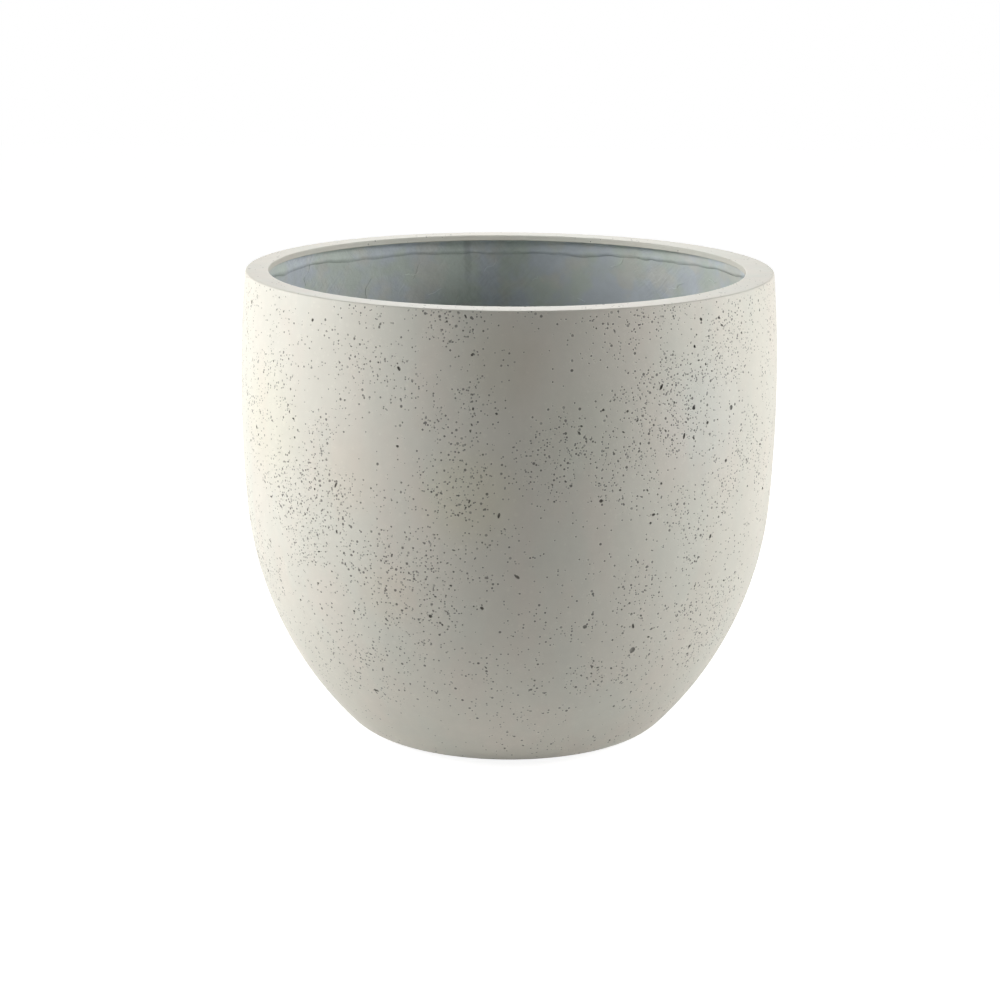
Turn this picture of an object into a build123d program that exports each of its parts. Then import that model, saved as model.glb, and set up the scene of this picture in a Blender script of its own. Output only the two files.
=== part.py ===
from build123d import *
import math
import os

# An egg-shaped floor planter, laid up by hand in a mould in two layers that stay bonded for life.
# The outer layer is a thin coat of fine concrete. It makes the whole outside, the flat rim
# and the short turned-down edge inside the mouth. The inner layer is grey cement laid up with
# glass fibre, which carries the load. A strip of glass-fibre mat ties the lip to the wall, and
# a rubber stopper closes the drain hole from inside.
# Millimetres, +Z up. The origin is the middle of the foot ring, on the floor.
# Every piece is a section in the plane of radius and height, turned about Z.

# Egg outline of the outside, as three arcs in a row: base corner, body and flank
overall_height = 525.0
belly_diameter = 600.0
rim_above_belly = 135.0
flank_radius = 1490.0
flank_below_belly = 125.0
base_diameter = 276.0
base_corner_radius = 60.0

# Layers
face_thickness = 3.0
backing_thickness = 6.0
floor_thickness = 14.0

# Rim, and the lip that overhangs the inside of the wall
lip_width = 28.4
lip_depth = 6.5
rim_outer_edge_radius = 2.0
rim_inner_edge_radius = 1.2
lip_lower_edge_radius = 0.8
lip_cove_radius = 8.0

# Mat strip under the lip, thinned out at its lower edge
band_thickness = 1.8
band_height = 19.0
band_edge_thickness = 0.8
band_edge_height = 2.0

# Foot ring, and the hollow inside it that keeps the drain off the floor
foot_width = 42.0
foot_recess = 5.0
foot_recess_slope = 6.0

# Drain hole and its stopper
drain_diameter = 25.0
drain_edge_radius = 1.5
stopper_running_clearance = 0.05
stopper_flange_overlap = 7.5
stopper_flange_thickness = 3.5
stopper_flange_edge_radius = 1.2
stopper_flange_border = 6.5
stopper_dish_depth = 1.2
stopper_rib_count = 2
stopper_rib_height = 0.7
stopper_rib_width = 1.6
stopper_nose_above_floor = 1.5
stopper_nose_length = 3.0
stopper_nose_taper = 1.4
stopper_web = 5.0
stopper_wall = 5.2

# What follows from those sizes
belly_radius = belly_diameter / 2
belly_height = overall_height - rim_above_belly
flank_centre = (belly_radius - flank_radius, belly_height)
base_radius = base_diameter / 2
wall_thickness = face_thickness + backing_thickness
under_rim = overall_height - face_thickness
rim_radius = flank_centre[0] + math.sqrt(flank_radius**2 - rim_above_belly**2)
mouth_radius = rim_radius - lip_width
lip_underside = overall_height - lip_depth
drain_radius = drain_diameter / 2


def on_circle(centre, radius, angle):
    """The point on a circle at an angle above the horizontal, as radius and height."""
    return (centre[0] + radius * math.cos(angle), centre[1] + radius * math.sin(angle))


def arc(centre, radius, start, end):
    """The arc of a circle from one angle to another."""
    angles = (start, (start + end) / 2, end)
    return ThreePointArc(*[on_circle(centre, radius, angle) for angle in angles])


def flank_angle(height, inset):
    """Angle at which the flank, moved in by inset, reaches a height."""
    return math.asin((height - belly_height) / (flank_radius - inset))


def body_curve():
    """Centre, radius and top angle of the arc that touches the flank and the base corner."""
    angle = flank_angle(belly_height - flank_below_belly, 0)
    top = on_circle(flank_centre, flank_radius, angle)
    reach = (top[0] - base_radius, top[1] - base_corner_radius)
    along = reach[0] * math.cos(angle) + reach[1] * math.sin(angle)
    square = reach[0] ** 2 + reach[1] ** 2 - base_corner_radius**2
    radius = square / (2 * (along - base_corner_radius))
    return on_circle(top, -radius, angle), radius, angle


def wall_line(inset, floor, top):
    """The egg line moved in by inset, from a floor up to a height near the rim."""
    centre, radius, top_angle = body_curve()
    corner_radius = base_corner_radius - inset
    drop = centre[1] - floor - corner_radius
    corner = (
        centre[0] + math.sqrt((radius - inset - corner_radius) ** 2 - drop**2),
        floor + corner_radius,
    )
    corner_angle = math.atan2(-drop, corner[0] - centre[0])
    return [
        arc(corner, corner_radius, -math.pi / 2, corner_angle),
        arc(centre, radius - inset, corner_angle, top_angle),
        arc(flank_centre, flank_radius - inset, top_angle, flank_angle(top, inset)),
    ]


def base_line(lift):
    """The line under the base, lifted into the wall: drain, hollow and foot ring."""
    foot_inside = base_radius - foot_width
    return Polyline(
        (drain_radius, foot_recess + lift),
        (foot_inside - foot_recess_slope, foot_recess + lift),
        (foot_inside, lift),
        (base_radius, lift),
    )


def lip_cove(inset):
    """Centre and arc of the hollow corner between the wall's inside and the lip."""
    height = lip_underside - lip_cove_radius
    reach = flank_radius - wall_thickness - lip_cove_radius
    angle = math.asin((height - belly_height) / reach)
    centre = on_circle(flank_centre, reach, angle)
    return centre, arc(centre, lip_cove_radius - inset, angle, math.pi / 2)


def rounded(section, corner, radius):
    """A section with the corner nearest a point rounded off."""
    return fillet(section.vertices().sort_by_distance(Vector(*corner))[0], radius)


def turned(section):
    """The solid made by turning a section about Z."""
    return revolve(Plane.XZ * section, Axis.Z)


def concrete_face():
    """The outer coat: outside of the egg, flat rim, turned-down mouth edge and foot ring."""
    outside = wall_line(0, 0, overall_height)
    inside = wall_line(face_thickness, face_thickness, under_rim)
    rim = Polyline(
        (rim_radius, overall_height),
        (mouth_radius, overall_height),
        (mouth_radius, lip_underside),
        (mouth_radius + face_thickness, lip_underside),
        (mouth_radius + face_thickness, under_rim),
        inside[-1] @ 1,
    )
    under = base_line(0)
    over = base_line(face_thickness)
    section = make_face([under, *outside, rim, *inside, over, Line(over @ 0, under @ 0)])
    section = rounded(section, (rim_radius, overall_height), rim_outer_edge_radius)
    section = rounded(section, (mouth_radius, overall_height), rim_inner_edge_radius)
    section = rounded(section, (mouth_radius, lip_underside), lip_lower_edge_radius)
    return turned(section)


def fibre_backing():
    """The inner layer: it fills the back of the lip and is thickest at the floor."""
    outside = wall_line(face_thickness, face_thickness, under_rim)
    _, cove = lip_cove(0)
    inside = wall_line(wall_thickness, floor_thickness, (cove @ 0).Y)
    lip = Polyline(
        outside[-1] @ 1,
        (mouth_radius + face_thickness, under_rim),
        (mouth_radius + face_thickness, lip_underside),
        cove @ 1,
    )
    under = base_line(face_thickness)
    floor = Line((drain_radius, floor_thickness), inside[0] @ 0)
    section = make_face([under, *outside, lip, cove, *inside, floor, Line(floor @ 0, under @ 0)])
    return turned(rounded(section, (drain_radius, floor_thickness), drain_edge_radius))


def rim_band():
    """The mat strip: it follows the hollow corner under the lip and thins out downwards."""
    _, outer_cove = lip_cove(0)
    centre, inner_cove = lip_cove(band_thickness)
    bottom = lip_underside - band_height
    end = math.atan2(centre[1] - belly_height, centre[0] - flank_centre[0])

    def wall_arc(inset, height):
        return arc(flank_centre, flank_radius - inset, flank_angle(height, inset), end)

    against_wall = wall_arc(wall_thickness, bottom)
    open_side = wall_arc(wall_thickness + band_thickness, bottom + band_edge_height)
    edge_inset = wall_thickness + band_edge_thickness
    edge_radius = flank_radius - edge_inset
    edge = on_circle(flank_centre, edge_radius, flank_angle(bottom, edge_inset))
    lower = Polyline(against_wall @ 0, edge, open_side @ 0)
    upper = Line(outer_cove @ 1, inner_cove @ 1)
    return turned(make_face([against_wall, outer_cove, upper, inner_cove, open_side, lower]))


def drain_plug():
    """The rubber stopper, drawn as it is squeezed in the hole: flange, ribbed stem, hollow nose."""
    seat = floor_thickness
    top = seat + stopper_flange_thickness
    flange_radius = drain_radius + stopper_flange_overlap
    dish_radius = flange_radius - stopper_flange_border
    rib_radius = drain_radius - stopper_running_clearance
    stem_radius = rib_radius - stopper_rib_height
    nose = stopper_nose_above_floor
    hollow_radius = stem_radius - stopper_wall
    hollow_top = top - stopper_dish_depth - stopper_web
    outline = [
        (0, top - stopper_dish_depth),
        (dish_radius - stopper_dish_depth, top - stopper_dish_depth),
        (dish_radius, top),
        (flange_radius, top),
        (flange_radius, seat),
        (stem_radius, seat),
    ]
    rib_spacing = (seat - drain_edge_radius - foot_recess) / stopper_rib_count
    for rib in range(stopper_rib_count):
        crest = seat - drain_edge_radius - (rib + 0.5) * rib_spacing
        outline += [
            (stem_radius, crest + stopper_rib_width / 2),
            (rib_radius, crest + stopper_rib_width / 4),
            (rib_radius, crest - stopper_rib_width / 4),
            (stem_radius, crest - stopper_rib_width / 2),
        ]
    outline += [
        (stem_radius, nose + stopper_nose_length),
        (stem_radius - stopper_nose_taper, nose),
        (hollow_radius, nose),
        (hollow_radius, hollow_top),
        (0, hollow_top),
    ]
    section = make_face(Polyline(*outline, close=True))
    return turned(rounded(section, (flange_radius, top), stopper_flange_edge_radius))


os.makedirs("parts", exist_ok=True)
for piece in (concrete_face, fibre_backing, rim_band, drain_plug):
    solid = piece()
    export_step(solid, f"parts/{piece.__name__}.step")
    print(piece.__name__, len(solid.solids()), "solid", round(solid.volume / 1000, 1), "cm3")
print("mouth radius", round(mouth_radius, 3), "body arc", [round(v, 2) for v in body_curve()[0]])
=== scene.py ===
import math

import bpy
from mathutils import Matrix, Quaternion, Vector


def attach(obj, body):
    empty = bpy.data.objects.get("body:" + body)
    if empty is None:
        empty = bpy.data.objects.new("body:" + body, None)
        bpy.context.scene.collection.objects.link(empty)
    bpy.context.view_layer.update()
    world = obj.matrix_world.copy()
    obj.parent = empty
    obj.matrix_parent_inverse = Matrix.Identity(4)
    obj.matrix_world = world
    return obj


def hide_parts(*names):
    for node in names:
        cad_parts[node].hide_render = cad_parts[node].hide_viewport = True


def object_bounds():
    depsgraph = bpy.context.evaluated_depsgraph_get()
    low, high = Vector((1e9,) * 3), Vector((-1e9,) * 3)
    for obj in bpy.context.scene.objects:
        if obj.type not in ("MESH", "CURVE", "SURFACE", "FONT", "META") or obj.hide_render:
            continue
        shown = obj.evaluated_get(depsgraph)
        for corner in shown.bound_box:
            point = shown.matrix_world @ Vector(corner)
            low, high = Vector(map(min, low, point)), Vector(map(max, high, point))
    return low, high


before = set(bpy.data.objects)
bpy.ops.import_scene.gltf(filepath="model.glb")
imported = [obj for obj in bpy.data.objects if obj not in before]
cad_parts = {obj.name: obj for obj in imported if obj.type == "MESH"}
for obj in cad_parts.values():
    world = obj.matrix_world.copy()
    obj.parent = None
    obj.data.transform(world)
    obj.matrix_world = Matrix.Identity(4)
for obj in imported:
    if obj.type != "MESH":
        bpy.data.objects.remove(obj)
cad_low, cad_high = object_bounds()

# An egg-shaped floor planter of pale cast concrete, laid up in a mould. Metres, +Z up, with the
# middle of the foot ring at the origin. Air bubbles against the mould left open pits all over the
# outside, and the raw inside shows the glass fibre that it is laid up with.

# Egg outline of the outside, as in the solids
overall_height = cad_high.z
belly_radius = min(cad_high.x, cad_high.y, -cad_low.x, -cad_low.y)
rim_above_belly = 0.135
flank_radius = 1.49
flank_below_belly = 0.125
base_radius = 0.138
base_corner_radius = 0.060

# Layers, rim and lip
face_thickness = 0.003
wall_thickness = 0.009
floor_thickness = 0.014
lip_width = 0.0284
lip_depth = 0.0065
rim_outer_edge = 0.0020
rim_inner_edge = 0.0012
lip_lower_edge = 0.0008
lip_cove_radius = 0.008

# Mat strip, drawn thinner than in the solids, because its edge hardly shows in the photo
band_thickness = 0.0010
band_height = 0.019
band_edge_thickness = 0.0002
band_edge_height = 0.005

# Foot ring and drain
foot_width = 0.042
foot_recess = 0.005
foot_recess_slope = 0.006
drain_radius = 0.0125
drain_edge_radius = 0.0015

# Hand-made unevenness: the wall swells in and out, and the mouth sits off centre in the rim.
# The drift fades out across the lip and down the wall.
wall_wobble = 0.0005
wobble_scale = 3.2
wobble_from, wobble_full = 0.02, 0.12
mouth_drift = -0.0032
drift_depth, drift_full_depth = 0.09, 0.012
drift_across = (0.024, 0.004)

# The raw inside swells a little, but not round the stopper, nor under the strip and the lip
inside_swell = 0.0009
stopper_reach = (0.024, 0.040)
strip_reach = (0.478, 0.496)

# Pits. Those with a radius above large_pit_radius get the finer cutter. Spread and power set how
# much wider than the smallest the few largest are.
large_pit_radius = 0.0017
smallest_pit = 0.0020
deepest_pit = 0.0021
pit_size_spread = 0.93
pit_size_power = 0.32

# Bundles of glass fibre on the raw inside: length and bend
strand_length = (0.012, 0.034)
strand_bend = 0.022

# Points closer together than this are one point
weld = 1e-6

# How finely the turned pieces are divided
face_turns = 160
backing_turns = 288
band_turns = 360

belly_height = overall_height - rim_above_belly
flank_centre = (belly_radius - flank_radius, belly_height)
rim_radius = flank_centre[0] + math.sqrt(flank_radius**2 - rim_above_belly**2)
mouth_radius = rim_radius - lip_width
lip_underside = overall_height - lip_depth
under_rim = overall_height - face_thickness


class Socket:
    """An output of a node. Arithmetic on it adds Math nodes."""

    def __init__(self, maker, port):
        self.maker, self.port = maker, port

    def __add__(self, other):
        return self.maker.math("ADD", self, other)

    def __radd__(self, other):
        return self.maker.math("ADD", other, self)

    def __sub__(self, other):
        return self.maker.math("SUBTRACT", self, other)

    def __rsub__(self, other):
        return self.maker.math("SUBTRACT", other, self)

    def __mul__(self, other):
        return self.maker.math("MULTIPLY", self, other)

    def __rmul__(self, other):
        return self.maker.math("MULTIPLY", other, self)

    def __truediv__(self, other):
        return self.maker.math("DIVIDE", self, other)

    def __pow__(self, other):
        return self.maker.math("POWER", self, other)

    def __mod__(self, other):
        return self.maker.math("MODULO", self, other)

    def __gt__(self, other):
        return self.maker.math("GREATER_THAN", self, other)

    def __lt__(self, other):
        return self.maker.math("LESS_THAN", self, other)


def pick(sockets, key):
    """The socket with a name or a place in the row, among those that the node shows."""
    shown = [socket for socket in sockets if socket.enabled]
    if isinstance(key, int):
        return shown[key]
    return next(socket for socket in shown if socket.name == key)


class Maker:
    """Adds nodes to one tree and links them."""

    def __init__(self, tree):
        self.tree = tree

    def add(self, kind, settings=None, inputs=None, take=0):
        """A new node. Its settings go first, because they decide which sockets it shows."""
        node = self.tree.nodes.new(kind)
        for name, value in (settings or {}).items():
            setattr(node, name, value)
        for name, value in (inputs or {}).items():
            self.plug(pick(node.inputs, name), value)
        return Socket(self, pick(node.outputs, take)) if node.outputs else node

    def plug(self, socket, value):
        """Links a socket, or each of a list of sockets, or sets a plain value."""
        if isinstance(value, Socket):
            self.tree.links.new(value.port, socket)
        elif isinstance(value, list):
            for one in value:
                self.tree.links.new(one.port, socket)
        elif socket.type == "RGBA":
            socket.default_value = (*value[:3], 1.0)
        else:
            socket.default_value = value

    def other(self, socket, name):
        """Another output of the node that a socket belongs to."""
        return Socket(self, pick(socket.port.node.outputs, name))

    def math(self, operation, *values):
        return self.add("ShaderNodeMath", {"operation": operation}, dict(enumerate(values)))

    def vector(self, operation, *values, take=0):
        return self.add("ShaderNodeVectorMath", {"operation": operation}, dict(enumerate(values)), take)

    def scaled(self, vector, factor):
        return self.add("ShaderNodeVectorMath", {"operation": "SCALE"}, {0: vector, "Scale": factor})

    def parts(self, vector):
        """The three components of a vector."""
        x = self.add("ShaderNodeSeparateXYZ", {}, {0: vector}, "X")
        return x, self.other(x, "Y"), self.other(x, "Z")

    def join(self, x, y, z):
        return self.add("ShaderNodeCombineXYZ", {}, {0: x, 1: y, 2: z})

    def ease(self, value, low, high, from_level=0.0, to_level=1.0):
        """Goes smoothly from one level to another while a value goes from low to high."""
        return self.add(
            "ShaderNodeMapRange",
            {"interpolation_type": "SMOOTHSTEP"},
            {0: value, 1: low, 2: high, 3: from_level, 4: to_level},
        )

    def noise(self, place, scale, detail=2.0, roughness=0.5, take=0):
        return self.add(
            "ShaderNodeTexNoise",
            {},
            {"Vector": place, "Scale": scale, "Detail": detail, "Roughness": roughness},
            take,
        )

    def mix(self, share, first, second):
        """Two colours mixed by a share."""
        settings = {"data_type": "RGBA", "clamp_factor": True}
        return self.add("ShaderNodeMix", settings, {"Factor": share, "A": first, "B": second})


def in_scene(name, data):
    """A new object in the scene, at the origin."""
    thing = bpy.data.objects.new(name, data)
    bpy.context.scene.collection.objects.link(thing)
    return thing


def cleared(owner):
    """A maker for the nodes of a material or world, rid of those that it starts with."""
    owner.use_nodes = True
    owner.node_tree.nodes.clear()
    return Maker(owner.node_tree)


# Section lines, as lists of (radius, height)


def on_circle(centre, radius, angle):
    """The point on a circle at an angle above the horizontal, as radius and height."""
    return (centre[0] + radius * math.cos(angle), centre[1] + radius * math.sin(angle))


def arc(centre, radius, start, end, steps):
    """Points along an arc, both ends included."""
    return [on_circle(centre, radius, start + (end - start) * i / steps) for i in range(steps + 1)]


def line(start, end, steps=1):
    """Points along a straight line, both ends included."""
    shares = [i / steps for i in range(steps + 1)]
    return [tuple(a + (b - a) * share for a, b in zip(start, end)) for share in shares]


def flank_angle(height, inset):
    """Angle at which the flank, moved in by inset, reaches a height."""
    return math.asin((height - belly_height) / (flank_radius - inset))


def body_curve():
    """Centre, radius and top angle of the arc that touches the flank and the base corner."""
    angle = flank_angle(belly_height - flank_below_belly, 0)
    top = on_circle(flank_centre, flank_radius, angle)
    reach = (top[0] - base_radius, top[1] - base_corner_radius)
    along = reach[0] * math.cos(angle) + reach[1] * math.sin(angle)
    square = reach[0] ** 2 + reach[1] ** 2 - base_corner_radius**2
    radius = square / (2 * (along - base_corner_radius))
    return on_circle(top, -radius, angle), radius, angle


def egg_line(inset, floor, top_flank_angle, steps):
    """The egg line moved in by inset, from a floor up the corner, body and flank."""
    centre, radius, top_angle = body_curve()
    corner_radius = base_corner_radius - inset
    drop = centre[1] - floor - corner_radius
    corner = (
        centre[0] + math.sqrt((radius - inset - corner_radius) ** 2 - drop**2),
        floor + corner_radius,
    )
    corner_angle = math.atan2(-drop, corner[0] - centre[0])
    return [
        *arc(corner, corner_radius, -math.pi / 2, corner_angle, steps[0]),
        *arc(centre, radius - inset, corner_angle, top_angle, steps[1])[1:],
        *arc(flank_centre, flank_radius - inset, top_angle, top_flank_angle, steps[2])[1:],
    ]


def edge_on_flank(height, radius, inset=0.0):
    """Centre and flank angle of a round edge or cove whose top lies at a height."""
    reach = flank_radius - inset - radius
    angle = math.asin((height - radius - belly_height) / reach)
    return on_circle(flank_centre, reach, angle), angle


def section_of(*stretches):
    """A section as points with how exposed each is: stretches of (points, exposed)."""
    section = []
    for points, exposed in stretches:
        for radius, height in points:
            if not section or math.dist(section[-1][:2], (radius, height)) > weld:
                section.append((radius, height, exposed))
    if math.dist(section[0][:2], section[-1][:2]) < weld:
        section.pop()
    return section


def meeting_line():
    """Where the coat and the inner layer meet: from the lip down the wall and to the drain."""
    top_angle = flank_angle(under_rim, face_thickness)
    foot_inside = base_radius - foot_width
    return [
        (mouth_radius + face_thickness, under_rim),
        *reversed(egg_line(face_thickness, face_thickness, top_angle, (4, 10, 8))),
        (foot_inside, face_thickness),
        (foot_inside - foot_recess_slope, foot_recess + face_thickness),
        (drain_radius, foot_recess + face_thickness),
    ]


def face_section():
    """The outer coat, starting at the drain and going out under the base."""
    foot_inside = base_radius - foot_width
    edge_centre, edge_angle = edge_on_flank(overall_height, rim_outer_edge)
    underside = [
        *line((drain_radius, foot_recess), (foot_inside - foot_recess_slope, foot_recess), 8),
        *line((foot_inside - foot_recess_slope, foot_recess), (foot_inside, 0), 3),
        *line((foot_inside, 0), (base_radius, 0), 5),
    ]
    outside = egg_line(0, 0, edge_angle, (10, 36, 26))
    outer_edge = arc(edge_centre, rim_outer_edge, edge_angle, math.pi / 2, 4)
    inner_centre = (mouth_radius + rim_inner_edge, overall_height - rim_inner_edge)
    lower_centre = (mouth_radius + lip_lower_edge, lip_underside + lip_lower_edge)
    support = 0.0008
    flat_out, flat_in = edge_centre[0] - support, inner_centre[0] + support
    rim = [
        *line((flat_out, overall_height), (flat_in, overall_height), 4),
        *arc(inner_centre, rim_inner_edge, math.pi / 2, math.pi, 4),
    ]
    collar = [
        *line((mouth_radius, inner_centre[1] - support), (mouth_radius, lower_centre[1] + support), 2),
        *arc(lower_centre, lip_lower_edge, math.pi, 1.5 * math.pi, 3),
        (mouth_radius + face_thickness - 0.0003, lip_underside),
        (mouth_radius + face_thickness, lip_underside),
    ]
    stretches = [(underside, 0.3), (outside[1:], 1.0), (outer_edge, 0.15), (rim, 0.16), (collar, 0.12)]
    return list(reversed(section_of(*stretches, (meeting_line(), 0.0))))


def backing_section():
    """The inner layer, starting at the drain and going up the inside."""
    cove_centre, cove_angle = edge_on_flank(lip_underside, lip_cove_radius, wall_thickness)
    inside = [
        *arc((drain_radius + drain_edge_radius, floor_thickness - drain_edge_radius),
             drain_edge_radius, math.pi, math.pi / 2, 3),
        *line((drain_radius + 0.003, floor_thickness), (base_radius, floor_thickness), 16),
        *egg_line(wall_thickness, floor_thickness, cove_angle, (12, 52, 38)),
        *arc(cove_centre, lip_cove_radius, cove_angle, math.pi / 2, 6),
        *line((cove_centre[0] - 0.001, lip_underside), (mouth_radius + face_thickness, lip_underside), 2),
    ]
    return section_of((inside, 1.0), (meeting_line(), 0.0))


def band_section():
    """The mat strip, from its top against the lip down the wall and back up its open side."""
    cove_centre, cove_angle = edge_on_flank(lip_underside, lip_cove_radius, wall_thickness)
    bottom = lip_underside - band_height
    open_inset = wall_thickness + band_thickness
    edge_inset = wall_thickness + band_edge_thickness

    def wall(inset, height, steps):
        low = flank_angle(height, inset)
        return arc(flank_centre, flank_radius - inset, cove_angle, low, steps)

    against = [
        *arc(cove_centre, lip_cove_radius, math.pi / 2, cove_angle, 5),
        *wall(wall_thickness, bottom, 4),
    ]
    edge = on_circle(flank_centre, flank_radius - edge_inset, flank_angle(bottom, edge_inset))
    open_side = [
        edge,
        *reversed(wall(open_inset, bottom + band_edge_height, 6)),
        *arc(cove_centre, lip_cove_radius - band_thickness, cove_angle, math.pi / 2, 5),
    ]
    return section_of((against, 0.0), (open_side, 1.0))


def turned_skin(maker, section, turns):
    """The points of a section object carried round Z as a skin, with how exposed they are."""
    count = maker.add("GeometryNodeAttributeDomainSize", {}, {0: section}, "Point Count")
    index = maker.add("GeometryNodeInputIndex")
    row = maker.math("FLOOR", index / (turns + 1))
    angle = (index % (turns + 1)) / turns * math.tau
    grid = maker.add(
        "GeometryNodeMeshGrid",
        {},
        {"Vertices X": count + 1, "Vertices Y": turns + 1},
    )
    place = maker.add("GeometryNodeInputPosition")
    exposed = maker.add("GeometryNodeInputNamedAttribute", {"data_type": "FLOAT"}, {"Name": "exposed"})

    def sampled(kind, value):
        inputs = {"Geometry": section, "Value": value, "Index": row % count}
        return maker.add("GeometryNodeSampleIndex", {"data_type": kind}, inputs)

    radius, _, height = maker.parts(sampled("FLOAT_VECTOR", place))
    carried = maker.join(radius * maker.math("COSINE", angle), radius * maker.math("SINE", angle), height)
    marked = maker.add(
        "GeometryNodeStoreNamedAttribute",
        {"data_type": "FLOAT", "domain": "POINT"},
        {"Geometry": grid, "Name": "exposed", "Value": sampled("FLOAT", exposed)},
    )
    moved = maker.add("GeometryNodeSetPosition", {}, {"Geometry": marked, "Position": carried})
    return maker.add("GeometryNodeMergeByDistance", {}, {"Geometry": moved, "Distance": weld})


def hand_made(maker, mesh, wobble, drift):
    """Gives a turned pot wall its uneven roundness and lets the mouth sit a little off centre."""
    place = maker.add("GeometryNodeInputPosition")
    x, y, z = maker.parts(place)
    radius = maker.vector("LENGTH", maker.join(x, y, 0.0), take="Value")
    above_foot = maker.ease(z, wobble_from, wobble_full)
    swell = maker.noise(place, wobble_scale, 1.0) * above_foot * wobble * -2.0
    outwards = maker.scaled(maker.vector("NORMALIZE", maker.join(x, y, 0.0)), swell)
    in_lip = maker.ease(radius, rim_radius - drift_across[0], rim_radius - drift_across[1], 1.0, 0.0)
    near_mouth = maker.ease(z, overall_height - drift_depth, overall_height - drift_full_depth)
    sideways = maker.join(drift * in_lip * near_mouth, 0.0, 0.0)
    offset = maker.vector("ADD", outwards, sideways)
    return maker.add("GeometryNodeSetPosition", {}, {"Geometry": mesh, "Offset": offset})


def named(maker, name):
    """A named number of the mesh."""
    return maker.add("GeometryNodeInputNamedAttribute", {"data_type": "FLOAT"}, {"Name": name})


def store(maker, mesh, name, value, domain="POINT"):
    """Gives a mesh a named number."""
    settings = {"data_type": "FLOAT", "domain": domain}
    inputs = {"Geometry": mesh, "Name": name, "Value": value}
    return maker.add("GeometryNodeStoreNamedAttribute", settings, inputs)


def shape_tree(name, material, inputs, build):
    """A geometry tree with named inputs, built by a function of the maker and those inputs."""
    tree = bpy.data.node_groups.new(name, "GeometryNodeTree")
    tree.interface.new_socket("Geometry", in_out="OUTPUT", socket_type="NodeSocketGeometry")
    for label, (kind, _) in inputs.items():
        tree.interface.new_socket(label, in_out="INPUT", socket_type="NodeSocket" + kind)
    maker = Maker(tree)
    entry = tree.nodes.new("NodeGroupInput")
    mesh = build(maker, {label: Socket(maker, entry.outputs[label]) for label in inputs})
    mesh = maker.add("GeometryNodeRealizeInstances", {}, {0: mesh})
    mesh = maker.add("GeometryNodeSetMaterial", {}, {"Geometry": mesh, "Material": material})
    maker.plug(tree.nodes.new("NodeGroupOutput").inputs[0], mesh)
    return tree


def grown(name, material, inputs, build):
    """A plain mesh piece made by a geometry tree, whose inputs are {label: (kind, value)}."""
    tree = shape_tree(name, material, inputs, build)
    host = in_scene(name + "_host", bpy.data.meshes.new(name))
    modifier = host.modifiers.new(name, "NODES")
    modifier.node_group = tree
    items = [item for item in tree.interface.items_tree if item.in_out == "INPUT"]
    identifiers = {item.name: item.identifier for item in items}
    for label, (_, value) in inputs.items():
        modifier[identifiers[label]] = value
    seen = host.evaluated_get(bpy.context.evaluated_depsgraph_get())
    mesh = bpy.data.meshes.new_from_object(seen)
    bpy.data.objects.remove(host)
    mesh.name = name
    return in_scene(name, mesh)


def section_object(name, section):
    """A section as a row of points with their exposure, for a geometry tree to read."""
    mesh = bpy.data.meshes.new(name)
    mesh.from_pydata([(radius, 0.0, height) for radius, height, _ in section], [], [])
    exposed = mesh.attributes.new("exposed", "FLOAT", "POINT")
    exposed.data.foreach_set("value", [point[2] for point in section])
    return in_scene(name, mesh)


def read_object(maker, helper):
    """The geometry of a helper object, as a socket."""
    return maker.add("GeometryNodeObjectInfo", {}, {"Object": helper}, "Geometry")


def shade_smooth(maker, mesh):
    return maker.add("GeometryNodeSetShadeSmooth", {"domain": "FACE"}, {0: mesh, "Shade Smooth": True})


def turned_wall(maker, inputs, turns):
    """A piece of the pot's wall: its section turned, made uneven and shaded smooth."""
    skin = turned_skin(maker, read_object(maker, inputs["Section"]), turns)
    return shade_smooth(maker, hand_made(maker, skin, inputs["Wobble"], inputs["Mouth drift"]))


def wall_inputs(section):
    """The inputs that every piece of the pot's wall has."""
    return {
        "Section": ("Object", section),
        "Wobble": ("Float", wall_wobble),
        "Mouth drift": ("Float", mouth_drift),
    }


def nearest(maker, mesh, value, kind="FLOAT_VECTOR"):
    """A value of a mesh, read at the place on it that lies nearest."""
    place = maker.add("GeometryNodeInputPosition")
    inputs = {"Mesh": mesh, "Value": value, "Sample Position": place}
    return maker.add("GeometryNodeSampleNearestSurface", {"data_type": kind}, inputs)


def random(maker, low, high, seed):
    inputs = {"Min": low, "Max": high, "Seed": seed}
    return maker.add("FunctionNodeRandomValue", {"data_type": "FLOAT"}, inputs)


# Concrete coat with its pits

# Patches with more or fewer pits than elsewhere: azimuth from the front, height, reach, change
pit_patches = [
    (-47, 0.315, 0.085, 1.5),
    (-21, 0.235, 0.080, 0.9),
    (-11, 0.345, 0.050, 1.6),
    (12, 0.395, 0.050, 0.9),
    (33, 0.415, 0.075, 1.6),
    (52, 0.475, 0.070, 1.3),
    (-31, 0.375, 0.050, -0.8),
    (14, 0.265, 0.095, -0.8),
    (4, 0.475, 0.080, -0.5),
    (120, 0.330, 0.110, 1.2),
    (165, 0.250, 0.100, 0.9),
    (205, 0.420, 0.090, 1.3),
    (250, 0.300, 0.110, -0.7),
    (280, 0.200, 0.090, 1.0),
]

# The largest pits: azimuth from the front, height, width and height of the opening
large_pits = [
    (30.0, 0.150, 0.0075, 0.0085),
    (17.0, 0.185, 0.0055, 0.0050),
    (52.0, 0.405, 0.0060, 0.0060),
]


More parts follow.
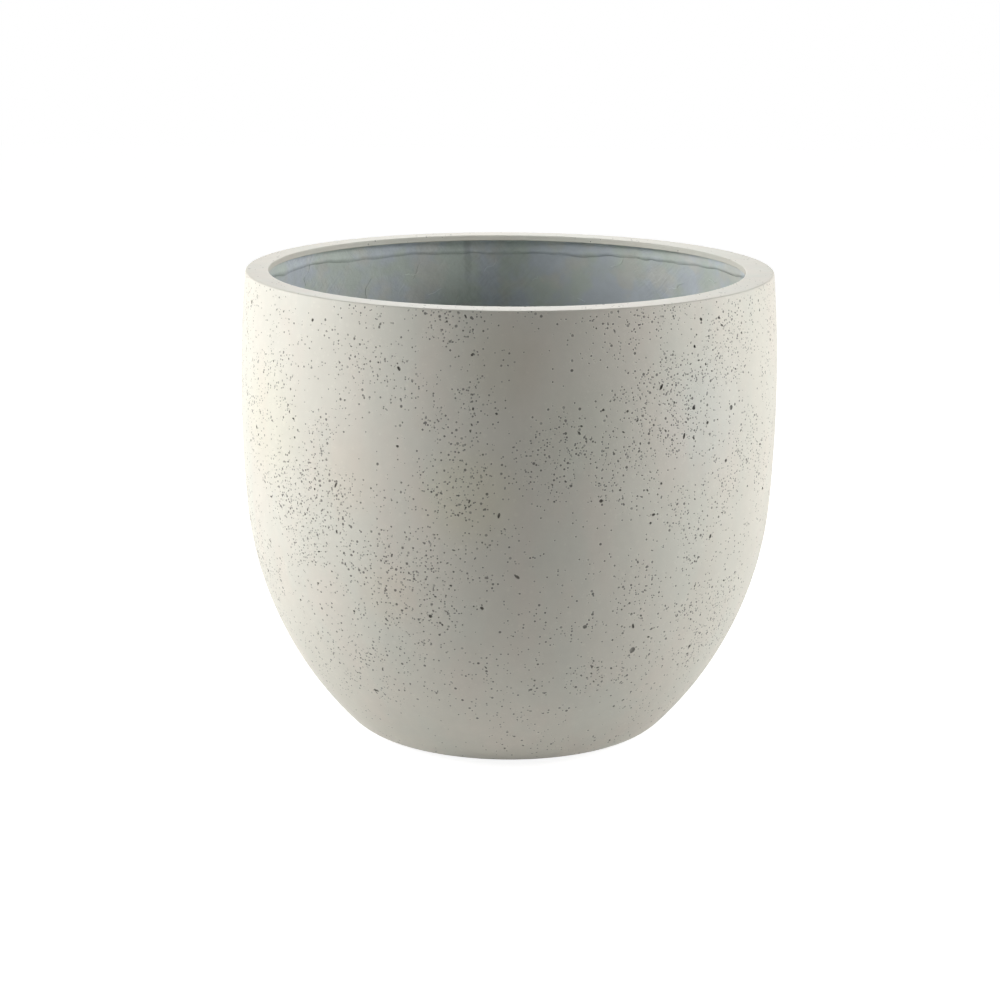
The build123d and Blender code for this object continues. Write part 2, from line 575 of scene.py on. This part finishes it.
def on_egg(azimuth, height):
    """The place on the outside at an azimuth from the front, to the right, and a height."""
    centre, radius, top_angle = body_curve()
    if height > belly_height - flank_below_belly:
        reach = flank_centre[0] + math.sqrt(flank_radius**2 - (height - belly_height) ** 2)
    else:
        reach = centre[0] + math.sqrt(radius**2 - (height - centre[1]) ** 2)
    turn = math.radians(azimuth)
    return Vector((reach * math.sin(turn), -reach * math.cos(turn), height))


def away_from(maker, place, azimuth, height):
    """How far a place is from a spot on the outside."""
    return maker.vector("DISTANCE", place, tuple(on_egg(azimuth, height)), take="Value")


def pit_cutter(name, sides, rings):
    """A closed plug that cuts a pit, one unit deep, with rings of (height, radius)."""
    turns = [math.tau * side / sides for side in range(sides)]
    points = [
        (radius * math.cos(turn), radius * math.sin(turn), height)
        for height, radius in rings
        for turn in turns
    ]
    faces = [tuple(range(sides))]
    for ring in range(len(rings) - 1):
        upper, lower = ring * sides, (ring + 1) * sides
        for side in range(sides):
            beside = (side + 1) % sides
            faces.append((upper + side, lower + side, lower + beside, upper + beside))
    last = (len(rings) - 1) * sides
    faces += [(last + side, len(points), last + (side + 1) % sides) for side in range(sides)]
    mesh = bpy.data.meshes.new(name)
    mesh.from_pydata([*points, (0.0, 0.0, -1.0)], [], faces)
    return in_scene(name, mesh)


def spot_object(name, spots):
    """The middles of the large pits, with the width and height of each opening."""
    mesh = bpy.data.meshes.new(name)
    mesh.from_pydata([on_egg(azimuth, height) for azimuth, height, *_ in spots], [], [])
    opening = mesh.attributes.new("opening", "FLOAT_VECTOR", "POINT")
    for item, (_, _, width, height) in zip(opening.data, spots):
        item.vector = (width / 2, height / 2, min(deepest_pit, 0.3 * (width + height)))
    return in_scene(name, mesh)


def pitting(maker):
    """How thickly each place is pitted, about 1 on the whole, from listed patches and noise."""
    place = maker.add("GeometryNodeInputPosition")
    level = 0.15 + 1.1 * maker.ease(maker.noise(place, 16.0, 3.0, 0.6), 0.35, 0.72)
    for azimuth, height, reach, change in pit_patches:
        away = away_from(maker, place, azimuth, height)
        level = level + maker.ease(away, reach * 0.2, reach, change, 0.0)
    clumps = maker.ease(maker.noise(place, 60.0, 2.0), 0.38, 0.66, 0.25, 1.75)
    _, _, z = maker.parts(place)
    near_foot = maker.ease(z, 0.03, 0.14, 0.25, 1.0)
    return maker.math("MAXIMUM", level, 0.08) * clumps * near_foot * named(maker, "exposed")


def pitted_face(maker, inputs):
    """The coat, with every pit cut out of it and smooth normals between the pits."""
    shell = turned_wall(maker, inputs, face_turns)
    shell = store(maker, shell, "pitting", pitting(maker))
    density = named(maker, "pitting") * inputs["Pits per square metre"]
    spread = {"Mesh": shell, "Density": density, "Seed": inputs["Seed"]}
    points = maker.add("GeometryNodeDistributePointsOnFaces", {}, spread, "Points")
    upright = maker.other(points, "Rotation")
    spin = {"Axis": (0.0, 0.0, 1.0), "Angle": random(maker, 0.0, math.tau, 3)}
    turned = maker.add(
        "FunctionNodeRotateRotation",
        {"rotation_space": "LOCAL"},
        {"Rotation": upright, "Rotate By": maker.add("FunctionNodeAxisAngleToRotation", {}, spin)},
    )
    spread_out = (1.0 - pit_size_spread * random(maker, 0.0, 1.0, 4)) ** pit_size_power
    radius = inputs["Smallest pit"] / 2 / spread_out
    depth = maker.math("MINIMUM", radius * random(maker, 1.0, 1.7, 5), inputs["Deepest pit"])
    stretch = 1.0 + 0.9 * random(maker, 0.0, 1.0, 6) ** 2.0
    opening = maker.join(radius * stretch, radius / stretch**0.5, depth)
    large = radius > large_pit_radius

    def placed(where, cutter, rotation, scale, selection):
        shape = read_object(maker, cutter)
        values = {"Points": where, "Selection": selection, "Instance": shape}
        values.update({"Rotation": rotation, "Scale": scale})
        return maker.add("GeometryNodeInstanceOnPoints", {}, values)

    spots = read_object(maker, inputs["Large pits"])
    normal = nearest(maker, shell, maker.add("GeometryNodeInputNormal"))
    leaning = maker.add("FunctionNodeAlignRotationToVector", {"axis": "Z"}, {"Vector": normal})
    level_up = maker.add(
        "FunctionNodeAlignRotationToVector",
        {"axis": "Y", "pivot_axis": "Z"},
        {"Rotation": leaning, "Vector": (0.0, 0.0, 1.0)},
    )
    stated = maker.add(
        "GeometryNodeInputNamedAttribute", {"data_type": "FLOAT_VECTOR"}, {"Name": "opening"}
    )
    every = [
        placed(points, inputs["Small cutter"], turned, opening, 1.0 - large),
        placed(points, inputs["Large cutter"], turned, opening, large),
        placed(spots, inputs["Large cutter"], level_up, stated, True),
    ]
    joined = maker.add("GeometryNodeJoinGeometry", {}, {0: every})
    cutters = maker.add("GeometryNodeRealizeInstances", {}, {0: joined})
    place = maker.add("GeometryNodeInputPosition")
    warp = maker.noise(place, 420.0, 1.0, take="Color")
    warp = maker.scaled(maker.vector("SUBTRACT", warp, (0.5, 0.5, 0.5)), inputs["Ragged opening"])
    cutters = maker.add("GeometryNodeSetPosition", {}, {"Geometry": cutters, "Offset": warp})
    # The pit mark also darkens the pit faces in the concrete's colour, as painted shade
    cutters = store(maker, cutters, "pit", 1.0, domain="FACE")
    settings = {"operation": "DIFFERENCE", "solver": "MANIFOLD"}
    cut = shade_smooth(maker, maker.add("GeometryNodeMeshBoolean", settings, {0: shell, 1: cutters}))
    in_pit = named(maker, "pit")
    lip = maker.math("COMPARE", in_pit, 0.5, 0.3)
    cut = maker.add(
        "GeometryNodeSetShadeSmooth", {"domain": "EDGE"}, {0: cut, 1: lip, "Shade Smooth": False}
    )
    cut = store(maker, cut, "pitting", nearest(maker, shell, named(maker, "pitting"), "FLOAT"))
    own = maker.add("GeometryNodeInputNormal")
    wall = nearest(maker, shell, maker.add("GeometryNodeInputNormal"))
    settings = {"data_type": "VECTOR", "clamp_factor": True}
    mixed = maker.add("ShaderNodeMix", settings, {"Factor": in_pit, "A": wall, "B": own})
    settings = {"mode": "FREE", "domain": "CORNER"}
    return maker.add("GeometryNodeSetMeshNormal", settings, {0: cut, "Custom Normal": mixed})


# Materials


def finish(name, plain, build):
    """A material: plain values set on the shader, and varying ones made from the place."""
    material = bpy.data.materials.new(name)
    maker = cleared(material)
    place = maker.add("ShaderNodeTexCoord", {}, {}, "Object")
    shader = maker.add("ShaderNodeBsdfPrincipled", {}, {**plain, **build(maker, place)})
    maker.add("ShaderNodeOutputMaterial", {}, {"Surface": shader})
    return material


def bump(maker, height, distance):
    """A bump, for a Normal, from a height that is a distance deep at one."""
    return maker.add("ShaderNodeBump", {}, {"Height": height, "Distance": distance, "Strength": 1.0})


# Large faint stains on the outside: azimuth from the front, height, reach, colour factor
stains = [
    (-35, 0.340, 0.060, (1.020, 0.992, 0.978)),
    (-26, 0.215, 0.050, (1.022, 0.988, 0.968)),
    (-8, 0.330, 0.070, (1.005, 0.995, 0.940)),
    (-1, 0.470, 0.060, (0.960, 0.955, 0.935)),
    (14, 0.400, 0.070, (0.980, 1.000, 0.990)),
    (27, 0.300, 0.080, (0.990, 1.000, 1.000)),
    (44, 0.400, 0.090, (0.985, 1.000, 1.020)),
    (-60, 0.380, 0.090, (1.000, 1.000, 0.970)),
    (130, 0.300, 0.100, (1.030, 0.990, 0.960)),
    (200, 0.420, 0.100, (0.985, 1.000, 1.010)),
]


# Pinholes too small to cut, each painted as a dot of shade with a ring of painted highlight round it: how
# many cells to the metre, largest radius, share of cells with one
pinholes = [(125.0, 0.0019, 0.60), (180.0, 0.0014, 0.80), (270.0, 0.0011, 0.80)]


def concrete_look(maker, place):
    """Pale cast concrete: cloudy tones drawn out upwards, faint stains, a grain, pinholes painted as dark
    dots of shade with a paler ring of painted highlight, and painted shade on the faces of the cut pits.
    """
    x, y, z = maker.parts(place)
    tall = maker.join(x, y, z * 0.4)
    cloud = maker.noise(tall, 13.0, 4.0, 0.6)
    warm = maker.ease(maker.noise(tall, 17.0, 3.0), 0.45, 0.66)
    cool = maker.ease(maker.noise(maker.vector("ADD", tall, (3.1, 1.7, 0.4)), 15.0, 3.0), 0.45, 0.66)
    mottle = maker.noise(place, 70.0, 3.0, 0.6)
    grain = maker.noise(place, 900.0, 2.0, 0.6)
    colour = maker.mix(warm, (0.672, 0.653, 0.580), (0.684, 0.650, 0.578))
    colour = maker.mix(cool * 0.7, colour, (0.652, 0.653, 0.584))
    for azimuth, height, reach, factor in stains:
        away = away_from(maker, place, azimuth, height)
        stained = maker.vector("MULTIPLY", colour, factor)
        colour = maker.mix(maker.ease(away, reach * 0.3, reach, 1.0, 0.0), colour, stained)
    pitting = maker.add("ShaderNodeAttribute", {"attribute_name": "pitting"}, {}, "Fac")
    pit = maker.add("ShaderNodeAttribute", {"attribute_name": "pit"}, {}, "Fac")
    # Pinholes: each dark dot, darker for a deeper one, is painted shade in a hole too small to cut; the
    # paler ring round it is a painted highlight on its lip
    pinhole_shade, pale = 0.0, 0.0
    for scale, radius, share in pinholes:
        inputs = {"Vector": place, "Scale": scale}
        away = maker.add("ShaderNodeTexVoronoi", {"feature": "F1"}, inputs, "Distance")
        chance, _, depth = maker.parts(maker.other(away, "Color"))
        away = away / scale + (maker.noise(place, 1500.0, 1.0) - 0.5) * 0.0006
        there = chance < pitting * share
        pinhole_shade = pinhole_shade + maker.ease(away, radius * 0.55, radius, 1.0, 0.0) * there * (0.5 + depth * 0.7)
        pale = pale + maker.ease(away, radius, radius * 1.9, 1.0, 0.0) * there
    pinhole_shade = maker.math("MINIMUM", pinhole_shade, 1.0)
    pale = maker.math("MINIMUM", pale, 1.0) * (1.0 - pit)
    tone = 0.88 + 0.14 * cloud + 0.09 * mottle + 0.05 * grain + 0.05 * pale
    # Painted shade: the pinhole dots, and the faces of the cut pits darkened beyond the shade that they
    # throw
    tone = tone * (1.0 - 0.70 * pinhole_shade) * (1.0 - 0.58 * pit)
    return {
        "Base Color": maker.scaled(colour, tone),
        "Roughness": maker.ease(grain, 0.3, 0.7, 0.52, 0.66),
        "Normal": bump(maker, mottle * 0.4 + grain * 0.12 - pinhole_shade, 0.0004),
    }


def dark_run(maker, place):
    """A run of cement water below the lip, at the back and a little to the left."""
    run_place, run_end, run_top = -0.050, 0.452, 0.490
    x, y, z = maker.parts(place)
    sway = (maker.noise(place, 45.0, 2.0) - 0.5) * 0.012
    aside = maker.math("ABSOLUTE", x - run_place + sway)
    return maker.ease(aside, 0.0015, 0.0065, 1.0, 0.0) * maker.ease(z, run_end, run_top) * (y > 0.0)


def laminate_look(maker, place):
    """Raw grey glass-fibre cement: blotches of blue, green and buff grey, and brushed marks."""
    _, _, z = maker.parts(place)
    green = maker.ease(maker.noise(place, 22.0, 3.0), 0.40, 0.62)
    buff = maker.ease(maker.noise(maker.vector("ADD", place, (2.3, 0.9, 1.1)), 26.0, 3.0), 0.46, 0.64)
    colour = maker.mix(green, (0.455, 0.488, 0.520), (0.450, 0.492, 0.452))
    colour = maker.mix(buff * 0.7, colour, (0.500, 0.500, 0.460))
    marks = []
    for twist, shift in ((3.6, 0.0), (-2.6, 0.7)):
        turned = maker.add(
            "ShaderNodeVectorRotate", {"rotation_type": "Z_AXIS"}, {"Vector": place, "Angle": z * twist}
        )
        drawn = maker.vector("MULTIPLY", turned, (1.0, 1.0, 0.22))
        bent = maker.vector("ADD", drawn, maker.scaled(maker.noise(place, 30.0, 2.0, take="Color"), 0.02))
        marks.append(maker.noise(maker.vector("ADD", bent, (shift, shift, shift)), 170.0, 2.0, 0.55))
    patch = maker.ease(maker.noise(place, 13.0, 2.0), 0.38, 0.62)
    mark = (marks[0] * 0.65 + marks[1] * 0.35) * patch + 0.5 * (1.0 - patch)
    blotch = maker.noise(place, 55.0, 4.0, 0.65)
    tone = 0.89 + 0.36 * mark + 0.26 * blotch
    tone = tone * (1.0 - 0.20 * dark_run(maker, place))
    return {
        "Base Color": maker.scaled(colour, tone),
        "Normal": bump(maker, mark + 0.6 * blotch, 0.0016),
    }


def strand_look(maker, place):
    """The glass fibre, a little paler than the cement that it lies in."""
    look = laminate_look(maker, place)
    return {**look, "Base Color": maker.scaled(look["Base Color"], 1.16)}


def rubber_look(maker, place):
    """Black rubber with a little cement dust on it."""
    dust = maker.ease(maker.noise(place, 160.0, 3.0), 0.45, 0.8)
    return {
        "Base Color": maker.mix(dust * 0.35, (0.045, 0.045, 0.047), (0.20, 0.195, 0.18)),
        "Roughness": 0.45 + 0.25 * dust,
        "Normal": bump(maker, maker.noise(place, 900.0, 2.0), 0.0001),
    }


concrete = finish("cast_concrete", {"Specular IOR Level": 0.35}, concrete_look)
laminate = finish("fibre_laminate", {"Roughness": 0.75, "Specular IOR Level": 0.3}, laminate_look)
glass = finish("glass_strands", {"Roughness": 0.6, "Specular IOR Level": 0.4}, strand_look)
rubber = finish("stopper_rubber", {"Specular IOR Level": 0.4}, rubber_look)


# Pieces

face_line = section_object("face_section", face_section())
small_cutter = pit_cutter("small_cutter", 6, [(0.5, 1.0), (-0.45, 0.85)])
large_cutter = pit_cutter("large_cutter", 10, [(0.5, 1.0), (-0.2, 0.97), (-0.7, 0.72)])
spots = spot_object("large_pit_spots", large_pits)
face_inputs = {
    **wall_inputs(face_line),
    "Pits per square metre": ("Float", 1020.0),
    "Smallest pit": ("Float", smallest_pit),
    "Deepest pit": ("Float", deepest_pit),
    "Ragged opening": ("Float", 0.0007),
    "Small cutter": ("Object", small_cutter),
    "Large cutter": ("Object", large_cutter),
    "Large pits": ("Object", spots),
    "Seed": ("Int", 7),
}
face = grown("cast_face", concrete, face_inputs, pitted_face)


def raw_inside(maker, inputs):
    """The inner layer, with low swells where it is free of the stopper and the strip."""
    skin = turned_wall(maker, inputs, backing_turns)
    place = maker.add("GeometryNodeInputPosition")
    x, y, z = maker.parts(place)
    radius = maker.vector("LENGTH", maker.join(x, y, 0.0), take="Value")
    free = maker.ease(radius, *stopper_reach) * maker.ease(z, *strip_reach, 1.0, 0.0)
    swell = (maker.noise(place, 26.0, 3.0, 0.55) - 0.5) * named(maker, "exposed") * free
    swell = swell * inputs["Swell"] * 4.0
    offset = maker.scaled(maker.add("GeometryNodeInputNormal"), swell)
    return maker.add("GeometryNodeSetPosition", {}, {"Geometry": skin, "Offset": offset})


backing_line = section_object("backing_section", backing_section())
backing_inputs = {**wall_inputs(backing_line), "Swell": ("Float", inside_swell)}
backing = grown("raw_backing", laminate, backing_inputs, raw_inside)


def fibres(maker, inputs):
    """Bundles of glass fibre that lie bent over the raw inside, mostly slantwise."""
    skin = raw_inside(maker, inputs)
    place = maker.add("GeometryNodeInputPosition")
    x, y, z = maker.parts(place)
    patch = maker.ease(maker.noise(place, 12.0, 2.0), 0.40, 0.62, 0.12, 1.0)
    clear = maker.ease(z, 0.022, 0.05) * maker.ease(z, 0.485, 0.495, 1.0, 0.0)
    density = patch * clear * named(maker, "exposed") * inputs["Bundles per square metre"]
    spread = {"Mesh": skin, "Density": density, "Seed": inputs["Seed"]}
    points = maker.add("GeometryNodeDistributePointsOnFaces", {}, spread, "Points")
    normal = maker.other(points, "Normal")
    around = maker.vector("NORMALIZE", maker.join(y * -1.0, x, 0.0))
    uphill = maker.vector("CROSS_PRODUCT", normal, around)
    slant = random(maker, 0.0, 1.0, 11) * 1.9 - 0.35
    along = maker.vector(
        "ADD",
        maker.scaled(around, maker.math("COSINE", slant)),
        maker.scaled(uphill, maker.math("SINE", slant)),
    )
    upright = maker.add("FunctionNodeAlignRotationToVector", {"axis": "Z"}, {"Vector": normal})
    laid = maker.add(
        "FunctionNodeAlignRotationToVector",
        {"axis": "X", "pivot_axis": "Z"},
        {"Rotation": upright, "Vector": along},
    )
    ends = {"Start": (-0.5, 0.0, 0.0), "End": (0.5, 0.0, 0.0)}
    thread = maker.add("GeometryNodeCurvePrimitiveLine", {}, ends)
    thread = maker.add("GeometryNodeResampleCurve", {}, {"Curve": thread, "Count": 8})
    length = random(maker, *strand_length, 12)
    scale = maker.join(length, length, length)
    values = {"Points": points, "Instance": thread, "Rotation": laid, "Scale": scale}
    threads = maker.add("GeometryNodeInstanceOnPoints", {}, values)
    threads = maker.add("GeometryNodeRealizeInstances", {}, {0: threads})
    bend = maker.vector("SUBTRACT", maker.noise(place, 55.0, 2.0, take="Color"), (0.5, 0.5, 0.5))
    bend = maker.scaled(bend, strand_bend)
    threads = maker.add("GeometryNodeSetPosition", {}, {"Geometry": threads, "Offset": bend})
    on_skin = nearest(maker, skin, place)
    lift = maker.scaled(nearest(maker, skin, maker.add("GeometryNodeInputNormal")), inputs["Lift"])
    snapped = maker.vector("ADD", on_skin, lift)
    threads = maker.add("GeometryNodeSetPosition", {}, {"Geometry": threads, "Position": snapped})
    sizes = {"Resolution": 5, "Radius": inputs["Thickness"]}
    ring = maker.add("GeometryNodeCurvePrimitiveCircle", {}, sizes)
    swept = {"Curve": threads, "Profile Curve": ring, "Fill Caps": True}
    return shade_smooth(maker, maker.add("GeometryNodeCurveToMesh", {}, swept))


strand_inputs = {
    **backing_inputs,
    "Bundles per square metre": ("Float", 720.0),
    "Thickness": ("Float", 0.00055),
    "Lift": ("Float", 0.0001),
    "Seed": ("Int", 5),
}
strands = grown("glass_fibres", glass, strand_inputs, fibres)


def mat_strip(maker, inputs):
    """The strip under the lip, torn off by hand along its lower edge."""
    skin = turned_wall(maker, inputs, band_turns)
    place = maker.add("GeometryNodeInputPosition")
    _, _, z = maker.parts(place)
    low_part = maker.ease(z, lip_underside - band_height, lip_underside - 0.006, 1.0, 0.0)
    flat = maker.vector("MULTIPLY", place, (1.0, 1.0, 0.0))
    lift = (maker.noise(flat, 9.0, 5.0, 0.7) - 0.5) * low_part * inputs["Ragged edge"]
    offset = maker.join(0.0, 0.0, lift)
    return maker.add("GeometryNodeSetPosition", {}, {"Geometry": skin, "Offset": offset})


band_line = section_object("band_section", band_section())
band_inputs = {**wall_inputs(band_line), "Ragged edge": ("Float", 0.022)}
band = grown("mat_strip", glass, band_inputs, mat_strip)

for helper in (face_line, small_cutter, large_cutter, spots, backing_line, band_line):
    bpy.data.objects.remove(helper)

for piece, node, slot in (
    (face, "concrete_face", "face_concrete"),
    (backing, "fibre_backing", "backing_laminate"),
    (strands, None, "backing_laminate"),
    (band, "rim_band", "backing_laminate"),
):
    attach(piece, "pot")
    if node:
        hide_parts(node)

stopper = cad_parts["drain_plug"]
stopper.data.materials.clear()
stopper.data.materials.append(rubber)


# Room, lamps and camera


def looked_at(maker):
    """One for rays that show a thing to the camera or in a mirror or glass, zero for lighting rays."""
    path = maker.add("ShaderNodeLightPath", {}, {}, "Is Camera Ray")
    shown = maker.math("MAXIMUM", path, maker.other(path, "Is Glossy Ray"))
    return maker.math("MAXIMUM", shown, maker.other(path, "Is Transmission Ray"))


bpy.context.scene.view_settings.view_transform = "Standard"

# The floor is matt to the light and glows white to the camera, a little less round the pot, so
# that the pot's faint shadow shows
reach = 6.0
disc = bpy.data.meshes.new("floor")
corners = [(-reach, -reach, 0), (reach, -reach, 0), (reach, reach, 0), (-reach, reach, 0)]
disc.from_pydata(corners, [], [(0, 1, 2, 3)])
floor = in_scene("floor", disc)
white = bpy.data.materials.new("white_floor")
maker = cleared(white)
matt = maker.add("ShaderNodeBsdfDiffuse", {}, {"Color": (0.85, 0.85, 0.85)})
ground = maker.add("ShaderNodeTexCoord", {}, {}, "Object")
near_pot, far_off = 0.5, 1.4
level = maker.ease(maker.vector("LENGTH", ground, take="Value"), near_pot, far_off, 0.90, 1.0)
glow = maker.add("ShaderNodeEmission", {}, {"Color": maker.join(level, level, level), "Strength": 1.0})
faint = maker.add("ShaderNodeBsdfDiffuse", {}, {"Color": (0.30, 0.30, 0.30)})
shown = maker.add("ShaderNodeAddShader", {}, {0: glow, 1: faint})
both = maker.add("ShaderNodeMixShader", {}, {0: looked_at(maker), 1: matt, 2: shown})
maker.add("ShaderNodeOutputMaterial", {}, {"Surface": both})
disc.materials.append(white)

world = bpy.data.worlds.new("white_room")
bpy.context.scene.world = world
maker = cleared(world)
sky = maker.add("ShaderNodeBackground", {}, {"Color": (1.0, 1.0, 1.0), "Strength": looked_at(maker)})
maker.add("ShaderNodeOutputWorld", {}, {"Surface": sky})


aim_height = 0.30


def softbox(name, azimuth, height, power, size=(0.6, 0.35), distance=1.9):
    """A rectangular lamp at an azimuth from the front, turned to the middle of the pot."""
    lamp = bpy.data.lights.new(name, "AREA")
    lamp.shape = "RECTANGLE"
    lamp.size, lamp.size_y = size
    lamp.energy = power
    holder = in_scene(name, lamp)
    turn = math.radians(azimuth)
    holder.location = (distance * math.sin(turn), -distance * math.cos(turn), height)
    aim = Vector((0.0, 0.0, aim_height)) - holder.location
    holder.rotation_mode = "QUATERNION"
    holder.rotation_quaternion = aim.to_track_quat("-Z", "Y")


softbox("right_side", 80, 1.05, 13.5)
softbox("right_low", 80, 0.72, 5.5)
softbox("right_high", 80, 1.60, 3.3)
softbox("right_back", 100, 1.05, 6.0)
softbox("left_front", -60, 1.05, 6.5)
softbox("left_side", -80, 1.05, 10.0)
softbox("left_low", -80, 0.72, 5.0)
softbox("left_high", -80, 1.60, 4.0)
softbox("left_back", -100, 0.90, 11.5)
softbox("back_high", 180, 1.80, 27.0)
softbox("front_fill", 0, 0.90, 1.8, (1.4, 1.0), 3.6)

# The camera stands a little over three metres off and looks slightly down
camera_distance = 3.397
camera_tilt = math.radians(12.9)
camera_roll = math.radians(0.4)
lens = bpy.data.cameras.new("camera")
lens.lens = 108
lens.sensor_width = 36
lens.shift_x, lens.shift_y = -0.0082, -0.002
camera = in_scene("camera", lens)
back = Vector((0.0, -math.cos(camera_tilt), math.sin(camera_tilt)))
camera.location = Vector((0.0, 0.0, overall_height / 2)) + back * camera_distance
camera.rotation_mode = "QUATERNION"
camera.rotation_quaternion = back.to_track_quat("Z", "Y") @ Quaternion((0, 0, 1), camera_roll)
bpy.context.scene.camera = camera
